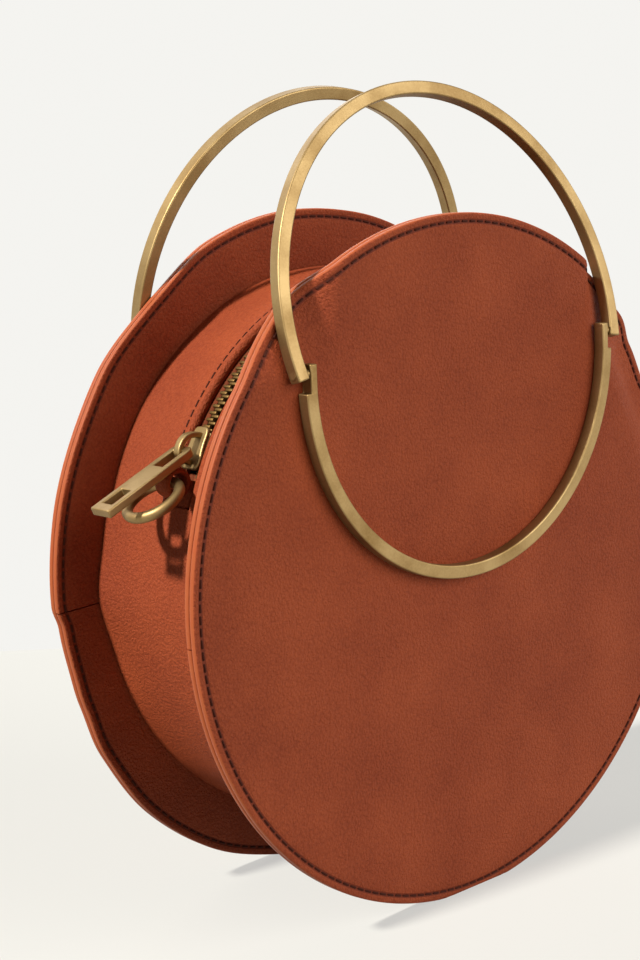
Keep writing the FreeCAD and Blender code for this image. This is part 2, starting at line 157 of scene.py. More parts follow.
class BagColours(bpy.types.PropertyGroup):
    """The colours of the leather, metal, zip and stage."""

    leather: colour("Leather", "Tan of the leather", "A74E2B")
    leather_deep: colour("Leather, deep", "Darker tan in the mottling", "7F351E")
    edge: colour("Edge paint", "Paint on the cut edges", "A95B34")
    brass: colour("Brass", "Rubbed brass", "A2885C")
    patina: colour("Patina", "Darkened brass", "7D623A")
    tarnish: colour("Tarnish", "Brass in the zip's teeth", "6B5029")
    thread: colour("Thread", "Sewing thread", "38170D")
    tape: colour("Zip tape", "Woven zip tape", "8A4325")
    lining: colour("Lining", "Lining cloth", "B09A80")
    board: colour("Board", "Stiffener board", "9A8566")
    steel: colour("Steel", "Zinc-plated screws", "A8A8A6")
    floor: colour("Floor", "What the floor adds where light falls on it", "89877F")
    background: colour("Background", "Pale floor and wall", "FFFEFA")


class StageSettings(bpy.types.PropertyGroup):
    """The camera and the lamps."""

    camera_place: bpy.props.FloatVectorProperty(
        name="Camera place", description="Where the camera stands", default=(-0.38314, -0.40438, 0.22485),
        subtype="TRANSLATION", unit="LENGTH")
    camera_yaw: angle("Camera yaw", "Turn of the view to the right of +Y", 41.27)
    camera_pitch: angle("Camera pitch", "Tilt of the view upwards", -10.02)
    camera_roll: angle("Camera roll", "Turn of the picture about the line of sight", -2.51)
    focal_pixels: level("Focal length", "Focal length in pixels of the picture", 1792.98)
    key_strength: level("Key lamp", "Strength of the main lamp", 5.2)
    fill_strength: level("Fill lamp", "Strength of the wide lamp in front", 2.35)
    back_strength: level("Back lamp", "Strength of the wide lamp behind", 1.2)
    ambient: level("Ambient", "Strength of the even light from all sides", 0.03)
    backdrop: level("Backdrop", "Brightness of the wall behind", 0.91)
    floor_glow: level("Floor glow", "What the floor shows by itself, apart from the light on it", 0.53)
    floor_end: length("Floor end", "How far behind the bag the floor ends", 281.0)


def sizes():
    """The bag's sizes in this scene."""
    return bpy.context.scene.bag_sizes


def colours():
    """The bag's colours in this scene."""
    return bpy.context.scene.bag_colours


def joint_place(name):
    """Where a joint's axis lies."""
    for joint in frame["joints"]:
        if joint["name"] == name:
            return Vector(joint["pos_m"])
    raise RuntimeError("no joint named " + name)


# Drawing in edit mode

def drum_axis():
    """The middle of the drum's axis."""
    return Vector((0, 0, sizes().centre_height))


def on_drum(turn, radius, y):
    """A point at an angle from the top of the drum, positive to the right, and a distance from its axis."""
    return Vector((radius * math.sin(turn), y, sizes().centre_height + radius * math.cos(turn)))


def started(name, add_primitive, **settings):
    """A new primitive, alone selected, in edit mode."""
    bpy.ops.object.select_all(action="DESELECT")
    add_primitive(**settings)
    piece = bpy.context.object
    piece.name = name
    piece.data.name = name
    bpy.ops.object.mode_set(mode="EDIT")
    return piece


def block(name, size, middle):
    """A box of a size about a middle, in edit mode."""
    piece = started(name, bpy.ops.mesh.primitive_cube_add, size=1.0)
    bpy.ops.transform.resize(value=size)
    bpy.ops.transform.translate(value=middle)
    return piece


def welded():
    """Selects everything and merges its doubles."""
    bpy.ops.mesh.select_all(action="SELECT")
    bpy.ops.mesh.remove_doubles(threshold=WELD)


def extruded(by):
    """Extrudes what is selected by a vector."""
    bpy.ops.mesh.extrude_region_move(TRANSFORM_OT_translate={"value": by})


def swept(centre, turn, steps, **settings):
    """Spins what is selected about a line along Y, clockwise from the front for a positive turn."""
    bpy.ops.mesh.spin(steps=steps, angle=turn, center=centre, axis=(0, -1, 0), **settings)


def capped():
    """Fills the open ends of the shape in edit mode."""
    bpy.ops.mesh.select_all(action="DESELECT")
    bpy.ops.mesh.select_non_manifold(extend=False)
    bpy.ops.mesh.fill_holes(sides=0)


def ended(piece, smooth=40):
    """Back to object mode, with merged doubles, outward normals and the place in the mesh."""
    welded()
    bpy.ops.mesh.normals_make_consistent(inside=False)
    bpy.ops.object.mode_set(mode="OBJECT")
    bpy.ops.object.transform_apply(location=True, rotation=True, scale=True)
    bpy.ops.object.shade_smooth_by_angle(angle=math.radians(smooth))
    return piece


def drawn(name, points, closed=False):
    """A line through points, drawn by extruding one vertex, left selected in edit mode."""
    piece = started(name, bpy.ops.mesh.primitive_plane_add, size=MM, location=points[0])
    bpy.ops.mesh.merge(type="CENTER")
    route = list(points) + ([points[0]] if closed else [])
    for here, there in zip(route, route[1:]):
        extruded(there - here)
    bpy.ops.mesh.select_all(action="SELECT")
    if closed:
        welded()
    return piece


def spun(name, outline, start, turn, steps, closed=True):
    """A piece turned about the drum's axis from an outline of (Y, radius) points, its open ends filled."""
    piece = drawn(name, [on_drum(start, radius, y) for y, radius in outline], closed)
    swept(drum_axis(), turn, steps)
    welded()
    if not math.isclose(turn, FULL_TURN):
        capped()
    return ended(piece)


def repeated_round(piece, start, step, count, smooth):
    """Turns a small piece to its first place round the drum and adds copies of it, a step apart."""
    turned_about(piece, drum_axis(), "Y", start)
    bpy.ops.object.mode_set(mode="EDIT")
    bpy.ops.mesh.select_all(action="SELECT")
    swept(drum_axis(), step * (count - 1), count - 1, dupli=True)
    return ended(piece, smooth)


def finished_with(piece, kind, **settings):
    """Adds one modifier and applies it."""
    bpy.ops.object.select_all(action="DESELECT")
    piece.select_set(True)
    bpy.context.view_layer.objects.active = piece
    modifier = piece.modifiers.new(kind.title(), kind)
    for key, value in settings.items():
        setattr(modifier, key, value)
    bpy.ops.object.modifier_apply(modifier=modifier.name)
    return piece


def eased(piece, width):
    """Rounds the sharp edges of a piece."""
    finished_with(piece, "BEVEL", width=width, segments=3, limit_method="ANGLE",
                  angle_limit=math.radians(35), use_clamp_overlap=True)
    bpy.ops.object.shade_smooth_by_angle(angle=math.radians(50))
    return piece


def turned_about(piece, pivot, axis, by):
    """The piece turned about a line, with its turn put into the mesh."""
    turn = Matrix.Rotation(by, 4, axis)
    piece.data.transform(Matrix.Translation(pivot) @ turn @ Matrix.Translation(-pivot))
    return piece


def mirrored(piece, here, there, axis):
    """A copy on the other side of the bag, with its own mesh and the other side's word in its name."""
    twin = piece.copy()
    twin.data = piece.data.copy()
    twin.name = piece.name.replace(here, there)
    twin.data.name = twin.name
    bpy.context.collection.objects.link(twin)
    twin.data.transform(Matrix.Scale(-1, 4, axis))
    twin.data.flip_normals()
    return twin


def joined(pieces):
    """Several meshes made one piece, under the first one's name."""
    bpy.ops.object.select_all(action="DESELECT")
    for piece in pieces:
        piece.select_set(True)
    bpy.context.view_layer.objects.active = pieces[0]
    bpy.ops.object.join()
    return pieces[0]


def placed(piece, body, slot, finish, *nodes):
    """Gives a piece its body and finish, and hides the CAD nodes that it stands for."""
    if not piece.data.materials:
        piece.data.materials.append(finish)
    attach(piece, body)
    if nodes:
        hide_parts(*nodes)
    return piece


# Finishes

def wired(tree, node, values=None, links=None):
    """Sets the sockets of a node and links what leads into them."""
    for socket, value in (values or {}).items():
        node.inputs[socket].default_value = value
    for socket, source in (links or {}).items():
        tree.links.new(node.inputs[socket], source)
    return node


def add(tree, kind, values=None, links=None, **settings):
    """Adds a node with its settings, socket values and links."""
    node = tree.nodes.new(kind)
    for key, value in settings.items():
        setattr(node, key, value)
    return wired(tree, node, values, links)


def new_finish(name):
    """An empty material with a Principled shader, or the one made before."""
    known = bpy.data.materials.get(name)
    if known:
        return known, None, None
    material = bpy.data.materials.new(name)
    material.use_nodes = True
    tree = material.node_tree
    return material, tree, tree.nodes["Principled BSDF"]


def rgba(value):
    """A colour with full opacity."""
    return (*value, 1.0)


def darker(value, share):
    """A colour at a share of its brightness."""
    return rgba([channel * share for channel in value])


def per_metre(millimetres):
    """The texture scale that gives a pattern of this size."""
    return 1 / (millimetres * MM)


def tan_leather():
    """Drum-dyed cow leather with an embossed fine grain: soft sheen, mottled dye, tiny pebbles with shade
    painted into the creases between them.
    """
    material, tree, shader = new_finish("tan_leather_embossed")
    if tree is None:
        return material
    place = add(tree, "ShaderNodeTexCoord").outputs["Object"]
    # The pebbles are shifted by up to 0.7 mm, which makes them uneven
    wander = add(tree, "ShaderNodeTexNoise", {"Scale": per_metre(2.4), "Detail": 2.0}, {"Vector": place})
    shift = add(tree, "ShaderNodeVectorMath", {1: (0.7 * MM, 0.7 * MM, 0.7 * MM)},
                {0: wander.outputs["Color"]}, operation="MULTIPLY")
    grain_place = add(tree, "ShaderNodeVectorMath", None, {0: place, 1: shift.outputs[0]}, operation="ADD")
    pebble = add(tree, "ShaderNodeTexVoronoi", {"Scale": per_metre(1.0)}, {"Vector": grain_place.outputs[0]})
    fine = add(tree, "ShaderNodeTexNoise", {"Scale": per_metre(0.55), "Detail": 3.0, "Roughness": 0.65},
               {"Vector": place})
    blotch = add(tree, "ShaderNodeTexNoise", {"Scale": per_metre(38), "Detail": 5.0, "Roughness": 0.6},
                 {"Vector": place})
    grain = add(tree, "ShaderNodeMath", {1: 0.55}, {0: pebble.outputs["Distance"]}, operation="MULTIPLY")
    height = add(tree, "ShaderNodeMath", None, {0: fine.outputs["Fac"], 1: grain.outputs[0]},
                 operation="SUBTRACT")
    tone = add(tree, "ShaderNodeMapRange", {"From Min": 0.3, "From Max": 0.7},
               {"Value": blotch.outputs["Fac"]})
    # Darker in the grain's creases: partly the grain's own tone, partly painted shade
    grain_tone_and_shade = add(tree, "ShaderNodeMapRange",
                {"From Min": 0.0, "From Max": 0.45, "To Min": 0.08, "To Max": 0.5},
                {"Value": height.outputs[0]})
    share = add(tree, "ShaderNodeMath", {1: 0.6}, {0: tone.outputs[0]}, operation="MULTIPLY")
    whole = add(tree, "ShaderNodeMath", None, {0: share.outputs[0], 1: grain_tone_and_shade.outputs[0]},
                operation="ADD", use_clamp=True)
    dye = add(tree, "ShaderNodeMix", {"A": rgba(colours().leather_deep), "B": rgba(colours().leather)},
              {"Factor": whole.outputs[0]}, data_type="RGBA")
    gloss = add(tree, "ShaderNodeMapRange", {"To Min": 0.62, "To Max": 0.48}, {"Value": whole.outputs[0]})
    bump = add(tree, "ShaderNodeBump", {"Strength": 0.9, "Distance": 0.55 * MM},
               {"Height": height.outputs[0]})
    wired(tree, shader, {"IOR": 1.45, "Specular IOR Level": 0.14},
          {"Base Color": dye.outputs["Result"], "Roughness": gloss.outputs[0], "Normal": bump.outputs[0]})
    return material


def edge_paint():
    """Cut edges of leather rubbed smooth and painted: lighter, glossier, with faint drag lines."""
    material, tree, shader = new_finish("edge_paint_rubbed")
    if tree is None:
        return material
    place = add(tree, "ShaderNodeTexCoord").outputs["Object"]
    drag = add(tree, "ShaderNodeTexNoise", {"Scale": per_metre(3.5), "Detail": 3.0}, {"Vector": place})
    tone = add(tree, "ShaderNodeMix", {"A": rgba(colours().leather), "B": rgba(colours().edge)},
               {"Factor": drag.outputs["Fac"]}, data_type="RGBA")
    gloss = add(tree, "ShaderNodeMapRange", {"To Min": 0.40, "To Max": 0.55}, {"Value": drag.outputs["Fac"]})
    bump = add(tree, "ShaderNodeBump", {"Strength": 0.25, "Distance": 0.1 * MM},
               {"Height": drag.outputs["Fac"]})
    wired(tree, shader, {"Specular IOR Level": 0.15},
          {"Base Color": tone.outputs["Result"], "Roughness": gloss.outputs[0], "Normal": bump.outputs[0]})
    return material


def groove_shade_leather():
    """Painted shade where a tight seam draws the leather in: a dark, dull line under the stitches."""
    material, tree, shader = new_finish("tan_leather_creased")
    if tree is None:
        return material
    place = add(tree, "ShaderNodeTexCoord").outputs["Object"]
    shade_noise = add(tree, "ShaderNodeTexNoise", {"Scale": per_metre(1.6), "Detail": 2.0}, {"Vector": place})
    # The groove's shade is painted in: deep tan at half and at full brightness, mixed by noise
    deep = colours().leather_deep
    tone = add(tree, "ShaderNodeMix", {"A": darker(deep, 0.5), "B": rgba(deep)},
               {"Factor": shade_noise.outputs["Fac"]}, data_type="RGBA")
    wired(tree, shader, {"Roughness": 0.65, "Specular IOR Level": 0.15},
          {"Base Color": tone.outputs["Result"]})
    return material


def rubbed_brass(name, bright, dark):
    """A brass whose brown patina is rubbed off unevenly, in soft streaks."""
    material, tree, shader = new_finish(name)
    if tree is None:
        return material
    place = add(tree, "ShaderNodeTexCoord").outputs["Object"]
    cloud = add(tree, "ShaderNodeTexNoise", {"Scale": per_metre(14), "Detail": 3.0, "Roughness": 0.5},
                {"Vector": place})
    rub = add(tree, "ShaderNodeTexNoise", {"Scale": per_metre(0.7), "Detail": 4.0, "Roughness": 0.7},
              {"Vector": place})
    streak = add(tree, "ShaderNodeMath", {1: 0.35}, {0: rub.outputs["Fac"]}, operation="MULTIPLY")
    stain = add(tree, "ShaderNodeMath", None, {0: cloud.outputs["Fac"], 1: streak.outputs[0]},
                operation="ADD")
    share = add(tree, "ShaderNodeMapRange", {"From Min": 0.4, "From Max": 0.85}, {"Value": stain.outputs[0]})
    tone = add(tree, "ShaderNodeMix", {"A": rgba(dark), "B": rgba(bright)}, {"Factor": share.outputs[0]},
               data_type="RGBA")
    gloss = add(tree, "ShaderNodeMapRange", {"To Min": 0.56, "To Max": 0.46}, {"Value": share.outputs[0]})
    bump = add(tree, "ShaderNodeBump", {"Strength": 0.12, "Distance": 0.04 * MM},
               {"Height": rub.outputs["Fac"]})
    wired(tree, shader, {"Metallic": 1.0},
          {"Base Color": tone.outputs["Result"], "Roughness": gloss.outputs[0], "Normal": bump.outputs[0]})
    return material


def antique_brass():
    """Brass darkened, then rubbed and lacquered: warm, soft shine with a brown cast."""
    return rubbed_brass("antique_brass_rubbed", colours().brass, colours().patina)


def zip_brass():
    """Stamped brass teeth left dark, rubbed brighter in uneven patches."""
    return rubbed_brass("antique_brass_stamped", colours().patina, colours().tarnish)


def sewing_thread():
    """Bonded polyester thread, twisted: dark, with a fine sheen on the turns of its plies, painted in as a
    paler tone.
    """
    material, tree, shader = new_finish("polyester_thread_twisted")
    if tree is None:
        return material
    place = add(tree, "ShaderNodeTexCoord").outputs["Object"]
    twist = add(tree, "ShaderNodeTexNoise", {"Scale": per_metre(0.4), "Detail": 2.0}, {"Vector": place})
    # The paler tone on the turns of the plies is painted sheen
    painted_sheen = [min(1.0, channel * 1.9) for channel in colours().thread]
    tone = add(tree, "ShaderNodeMix", {"A": rgba(colours().thread), "B": rgba(painted_sheen)},
               {"Factor": twist.outputs["Fac"]}, data_type="RGBA")
    bump = add(tree, "ShaderNodeBump", {"Strength": 0.4, "Distance": 0.08 * MM},
               {"Height": twist.outputs["Fac"]})
    wired(tree, shader, {"Roughness": 0.7, "Specular IOR Level": 0.12},
          {"Base Color": tone.outputs["Result"], "Normal": bump.outputs[0]})
    return material


def woven(name, base, thread):
    """Plain-woven cloth: crossed threads of a given spacing that catch light in turn."""
    material, tree, shader = new_finish(name)
    if tree is None:
        return material
    place = add(tree, "ShaderNodeTexCoord").outputs["Object"]
    # Single threads are too fine to show, so the bands are drawn about six thread spacings wide along Y, and
    # wider on the diagonal: at a scale of 1 the wave's phase is 20 radians to a unit
    bands = {"Scale": per_metre(thread) / 20, "Distortion": 0.4}
    across = add(tree, "ShaderNodeTexWave", bands, {"Vector": place}, bands_direction="Y")
    along = add(tree, "ShaderNodeTexWave", bands, {"Vector": place}, bands_direction="DIAGONAL")
    cross = add(tree, "ShaderNodeMath", None, {0: across.outputs["Fac"], 1: along.outputs["Fac"]},
                operation="MULTIPLY")
    tone = add(tree, "ShaderNodeMix", {"A": darker(base, 0.55), "B": rgba(base)},
               {"Factor": cross.outputs[0]}, data_type="RGBA")
    bump = add(tree, "ShaderNodeBump", {"Strength": 0.5, "Distance": 0.15 * MM}, {"Height": cross.outputs[0]})
    wired(tree, shader, {"Roughness": 0.85, "Specular IOR Level": 0.15},
          {"Base Color": tone.outputs["Result"], "Normal": bump.outputs[0]})
    return material


def zip_tape_cloth():
    """Woven polyester zip tape."""
    return woven("polyester_tape_woven", colours().tape, 0.5)


def lining_cloth():
    """Cotton lining, plain-woven."""
    return woven("cotton_lining_woven", colours().lining, 0.6)


def pressed_board():
    """Pressed fibre board: matt, with short fibres in slightly different tones."""
    material, tree, shader = new_finish("fibre_board_pressed")
    if tree is None:
        return material
    place = add(tree, "ShaderNodeTexCoord").outputs["Object"]
    fibre = add(tree, "ShaderNodeTexNoise", {"Scale": per_metre(1.5), "Detail": 6.0, "Roughness": 0.7},
                {"Vector": place})
    board = colours().board
    tone = add(tree, "ShaderNodeMix", {"A": darker(board, 0.7), "B": rgba(board)},
               {"Factor": fibre.outputs["Fac"]}, data_type="RGBA")
    wired(tree, shader, {"Roughness": 0.9}, {"Base Color": tone.outputs["Result"]})
    return material


def plated_steel():
    """Zinc-plated steel screws: grey metal with a grainy, dull shine."""
    material, tree, shader = new_finish("steel_zinc_plated")
    if tree is None:
        return material
    place = add(tree, "ShaderNodeTexCoord").outputs["Object"]
    grit = add(tree, "ShaderNodeTexNoise", {"Scale": per_metre(0.5), "Detail": 3.0}, {"Vector": place})
    gloss = add(tree, "ShaderNodeMapRange", {"To Min": 0.3, "To Max": 0.5}, {"Value": grit.outputs["Fac"]})
    wired(tree, shader, {"Base Color": rgba(colours().steel), "Metallic": 1.0},
          {"Roughness": gloss.outputs[0]})
    return material


def seen_rays(tree):
    """1 for the rays that show the background: those of the camera, of gloss and of glass."""
    rays = add(tree, "ShaderNodeLightPath").outputs
    direct = add(tree, "ShaderNodeMath", None, {0: rays["Is Camera Ray"], 1: rays["Is Glossy Ray"]},
                 operation="MAXIMUM")
    return add(tree, "ShaderNodeMath", None, {0: direct.outputs[0], 1: rays["Is Transmission Ray"]},
               operation="MAXIMUM").outputs[0]


def stage_paint(glow):
    """Pale paper on the floor: evenly bright to the eye, and still darker in the shadow."""
    material, tree, shader = new_finish("stage_pale_paper")
    if tree is None:
        return material
    shine = add(tree, "ShaderNodeMath", {1: glow}, {0: seen_rays(tree)}, operation="MULTIPLY")
    wired(tree, shader,
          {"Emission Color": rgba(colours().background), "Base Color": rgba(colours().floor),
           "Roughness": 0.9, "Specular IOR Level": 0.0},
          {"Emission Strength": shine.outputs[0]})
    return material


# Leather

def smooth_step(share):
    """A share from 0 to 1, eased at both ends."""
    share = min(max(share, 0.0), 1.0)
    return (1 - math.cos(math.pi * share)) / 2


def dented(piece, side, lean, left, right):
    """Lets the rim of a panel give way inwards under the two arms of the handle that leans on it."""
    s = sizes()
    start = s.centre_height + s.hinge_height - s.dent_start
    for vertex in piece.data.vertices:
        across = abs(vertex.co.x)
        inner = left if vertex.co.x < 0 else right
        rise = max(vertex.co.z - start, 0.0)
        bowed = min(rise, s.dent_ease)
        deep = math.tan(lean) * (bowed ** 2 / (2 * s.dent_ease) + rise - bowed)
        deep *= smooth_step((across - inner) / (s.arm_inner - inner))
        deep *= smooth_step((s.dent_outer - across) / (s.dent_outer - s.arm_outer))
        vertex.co.y -= side * deep
    return piece


def at_angle(table, turn):
    """Values between the rows of a table of (degrees from the top, values)."""
    degrees = math.degrees(turn)
    for (start, *before), (end, *after) in zip(table, table[1:]):
        if degrees <= end:
            share = smooth_step((degrees - start) / (end - start))
            return [low + (high - low) * share for low, high in zip(before, after)]
    return table[-1][1:]


def worn_rim(piece, side, table):
    """Brings a panel's rim out of true: a little out or in, and bent towards the middle of the bag."""
    axis = drum_axis()
    for vertex in piece.data.vertices:
        across, up = vertex.co.x, vertex.co.z - axis.z
        out = math.hypot(across, up)
        share = smooth_step((out - RIM_START) / RIM_EASE)
        if share > 0:
            grown, bent = at_angle(table, math.atan2(across, up))
            scale = 1 + grown * MM * share / out
            vertex.co = Vector((across * scale, vertex.co.y - side * bent * MM * share, axis.z + up * scale))
    return piece


def flat_foot(piece):
    """Settles the lowest part of a rim on the floor."""
    for vertex in piece.data.vertices:
        vertex.co.z = max(vertex.co.z, 0.0)
    return piece


def swollen(band, inner):
    """Lets the lower band swell towards the rear panel, most of all by the facing's joint."""
    even, at_joint = 0.6 * MM, 2.0 * MM
    joint_degrees, joint_spread = -92, 7
    start = 6 * MM
    axis = drum_axis()
    for vertex in band.data.vertices:
        spot = vertex.co - axis
        turn = math.degrees(math.atan2(spot.x, spot.z))
        swell = even + at_joint * math.exp(-((turn - joint_degrees) / joint_spread) ** 2)
        scale = 1 + swell * smooth_step((spot.y - start) / (inner - start)) / sizes().drum_radius
        vertex.co = Vector((spot.x * scale, spot.y, axis.z + spot.z * scale))
    return band


def paint_rim(piece, from_radius, crease):
    """Puts edge paint on the faces of a ply beyond a radius, and paints shade along the groove of its seam.
    """
    for finish in (tan_leather(), edge_paint(), groove_shade_leather()):
        piece.data.materials.append(finish)
    axis = drum_axis()
    for face in piece.data.polygons:
        out = math.hypot(face.center.x, face.center.z - axis.z)
        if out > from_radius:
            face.material_index = 1
        # Faces along the stitch groove get the painted groove shade
        elif abs(out - crease) < GROOVE_SHADE_HALF:
            face.material_index = 2
    return piece


def stitch_row(name, y, radius, start, turn, lift):
    """A row of stitches round the drum's axis: one stitch is modelled and copied by spinning."""
    pitch = sizes().stitch_pitch
    piece = started(name, bpy.ops.mesh.primitive_cylinder_add, vertices=8, radius=THREAD_RADIUS,
                    depth=pitch * STITCH_SHARE, location=on_drum(0, radius, y) + lift,
                    rotation=(0.0, math.pi / 2, STITCH_SLANT))
    bpy.ops.mesh.select_all(action="SELECT")
    bpy.ops.mesh.bevel(offset=STITCH_ROUNDING, segments=2, affect="EDGES")
    bpy.ops.object.mode_set(mode="OBJECT")
    bpy.ops.object.transform_apply(location=True, rotation=True, scale=True)
    count = round(turn * radius / pitch)
    return repeated_round(piece, start, turn / count, count, 60)


class BAG_OT_panels(bpy.types.Operator):
    """Both round panels: face leather, rim facing, lining and the stitches that hold them"""

    bl_idname = "bag.panels"
    bl_label = "Panels"

    def execute(self, context):
        s = sizes()
        rim = s.panel_radius
        outer = -s.bag_width / 2
        seam = outer + s.ply
        inner = seam + s.ply
        groove = rim - s.stitch_inset

        def edge(face, back, sign):
            """The outline of a ply's rim, from its open face round the rubbed edge to its back."""
            # Each point: millimetres into the ply, and outwards from the stitches or from the rim
            stitches = [(0, -14), (0, -10), (0, -6), (0, -3), (0.03, -1.6), (0.16, -0.7), (0.38, 0),
                        (0.16, 0.7), (0, 1.3)]
            face_edge = [(0.03, -0.6), (0.15, -0.25), (0.45, -0.05)]
            back_edge = [(0.4, -0.06), (0.12, -0.3), (0.02, -0.9)]
            line = [(face + sign * deep * MM, groove + out * MM) for deep, out in stitches]
            line += [(face + sign * deep * MM, rim + out * MM) for deep, out in face_edge]
            line.append((face + sign * s.ply / 2, rim))
            return line + [(back - sign * deep * MM, rim + out * MM) for deep, out in back_edge]

        # Rings of points across the face, closer together where the dents and the worn rim bend it
        face_rings = (0, 20, 40, 56, 68, 76, 80, 84)
        lining_rim = 84 * MM
        lining_inside = inner + LINING_CLOTH
        face_line = [(outer, radius * MM) for radius in face_rings] + edge(outer, seam, 1)
        face_line += [(seam, groove - 3 * MM), (seam, 78 * MM), (seam, 0)]
        facing_line = [(inner, s.facing_inner), (inner, s.facing_inner + 4 * MM)]
        facing_line += edge(inner, seam, -1) + [(seam, s.facing_inner)]
        lining_line = [(inner, 0), (inner, lining_rim), (lining_inside, lining_rim), (lining_inside, 0)]
        facing_start = FACING_JOINT + FACING_JOINT_HALF
        facing_turn = FULL_TURN - 2 * FACING_JOINT_HALF
        plies = {
            "face_leather": spun("front_face_leather_piece", face_line, 0, FULL_TURN, 480, closed=False),
            "rim_facing": spun("front_rim_facing_piece", facing_line, facing_start, facing_turn, 480),
            "panel_lining": spun("front_panel_lining_piece", lining_line, 0, FULL_TURN, 96, closed=False),
        }
        sunk = 0.3 * MM
        lift = 0.05 * MM * ALONG_Y
        threads = {
            "face_stitches": stitch_row("front_face_stitches", outer + sunk, groove, 0, FULL_TURN, -lift),
            "facing_stitches": stitch_row("front_facing_stitches", inner - sunk, groove, 0, FULL_TURN, lift),
        }
        for name, piece in {**plies, **threads}.items():
            if name in ("face_leather", "rim_facing"):
                paint_rim(piece, rim - EDGE_PAINT_DEPTH, groove)
            twin = mirrored(piece, "front", "rear", ALONG_Y)
            if name != "panel_lining":
                dented(piece, -1, s.front_lean, s.front_dent_left, s.front_dent_right)
                flat_foot(worn_rim(piece, -1, FRONT_RIM))
                dented(twin, 1, s.rear_lean, s.rear_dent, s.rear_dent)
                flat_foot(worn_rim(twin, 1, REAR_RIM))
            for side, made in (("front_", piece), ("rear_", twin)):
                if name in threads:
                    placed(made, "shell", "leather", sewing_thread())
                elif name == "panel_lining":
                    placed(made, "shell", "lining", lining_cloth(), side + name)
                else:
                    placed(made, "shell", "leather", tan_leather(), side + name)
        return {"FINISHED"}


class BAG_OT_drum(bpy.types.Operator):
    """The drum between the panels: lower band, folded zip strips, lining and stitches"""

    bl_idname = "bag.drum"
    bl_label = "Drum"

    def execute(self, context):
        s = sizes()
        inner = s.bag_width / 2 - 2 * s.ply
        r = s.drum_radius
        low = r - 2.6 * MM
        band_top = r + 0.5 * MM
        half_band = [(inner, low), (inner, r + 0.2 * MM), (inner - 0.6 * MM, band_top),
                     (inner - 4.0 * MM, band_top), (inner * 0.5, band_top)]
        band = half_band + [(-y, radius) for y, radius in reversed(half_band)]
        lower = swollen(spun("gusset_band_piece", band, s.seam, FULL_TURN - 2 * s.seam, 280), inner)
        placed(lower, "shell", "leather", tan_leather(), "gusset_band")

        # The folded edge beside the zip: millimetres away from the zip and above the drum
        fold = [(0.3, -1.9), (-0.05, -1.3), (-0.1, -0.7), (0.05, 0.0), (0.45, 0.6), (1.1, 0.95),
                (1.9, 0.9), (2.7, 0.45), (3.3, 0.0), (3.8, -0.22), (4.3, -0.1), (5.0, 0.06), (6.5, 0.08)]
        stitch_line = 3.8 * MM
        # Radians from the ends of a row of stitches to the seams
        row_end = 0.02
        sunk = Vector((0, 0, -0.12 * MM))
        for name, side in (("front", -1), ("rear", 1)):
            edge = s.zip_offset + side * s.zip_mouth / 2
            far = side * inner
            line = [(edge + side * y * MM, r + rise * MM) for y, rise in fold]
            line += [(far - side * 4.0 * MM, r), (far - side * 0.6 * MM, r)]
            line += [(far, r - 0.3 * MM), (far, r - 1.9 * MM)]
            strip = spun("zip_strip_%s_piece" % name, line, -s.seam, 2 * s.seam, 110)
            placed(strip, "shell", "leather", tan_leather(), "zip_strip_" + name)
            row = stitch_row("zip_strip_%s_stitches" % name, edge + side * stitch_line, r,
                             row_end - s.seam, 2 * s.seam - 2 * row_end, sunk)
            placed(row, "shell", "leather", sewing_thread())

        def lining(name, low_y, high_y, start, turn, steps):
            """A stretch of the lining between two places across the drum."""
            high = low - 0.1 * MM
            deep = high - LINING_CLOTH
            line = [(low_y, deep), (high_y, deep), (high_y, high), (low_y, high)]
            return spun(name, line, start, turn, steps)

        slot_half = 5.5 * MM
        cloth = [lining("band_lining_piece", -inner, inner, s.seam, FULL_TURN - 2 * s.seam, 140)]
        for low_y, high_y in ((-inner, s.zip_offset - slot_half), (s.zip_offset + slot_half, inner)):
            cloth.append(lining("lining_side", low_y, high_y, -s.seam, 2 * s.seam, 110))
        placed(joined(cloth), "shell", "lining", lining_cloth(), "band_lining")
        return {"FINISHED"}


